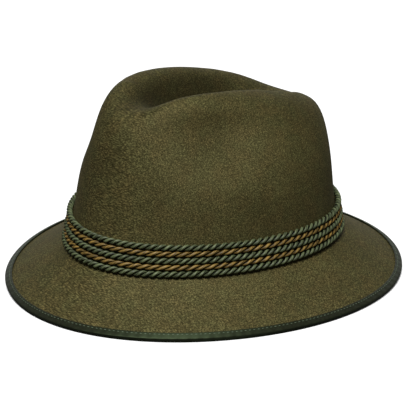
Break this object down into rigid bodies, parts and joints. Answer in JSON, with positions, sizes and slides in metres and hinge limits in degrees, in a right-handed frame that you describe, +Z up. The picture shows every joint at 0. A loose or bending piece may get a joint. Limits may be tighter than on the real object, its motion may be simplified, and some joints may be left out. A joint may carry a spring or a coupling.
{
  "type": "tyrolean hat",
  "caption": "Tyrolean felt hat with a centre-dented, front-pinched crown, a sloping ribbon-bound brim and a band of twisted green and gold cords.",
  "frame": {"origin": "on the surface that the brim's edge rests on, under the middle of the brim", "axes": "+Z up, -Y towards the front of the hat, +X towards the wearer's left"},
  "size_m": [0.2604, 0.291, 0.1411],
  "materials": {
    "felt": "matte mottled wool felt",
    "binding": "finely ribbed ribbon with a soft sheen",
    "green_cord": "twisted satin cord",
    "gold_cord": "twisted satin cord"
  },
  "bodies": {
    "root": {"felt_body": "felt", "brim_binding": "binding", "cord_1": "green_cord", "cord_2": "gold_cord", "cord_3": "green_cord", "cord_4": "gold_cord", "cord_5": "green_cord"}
  },
  "joints": []
}
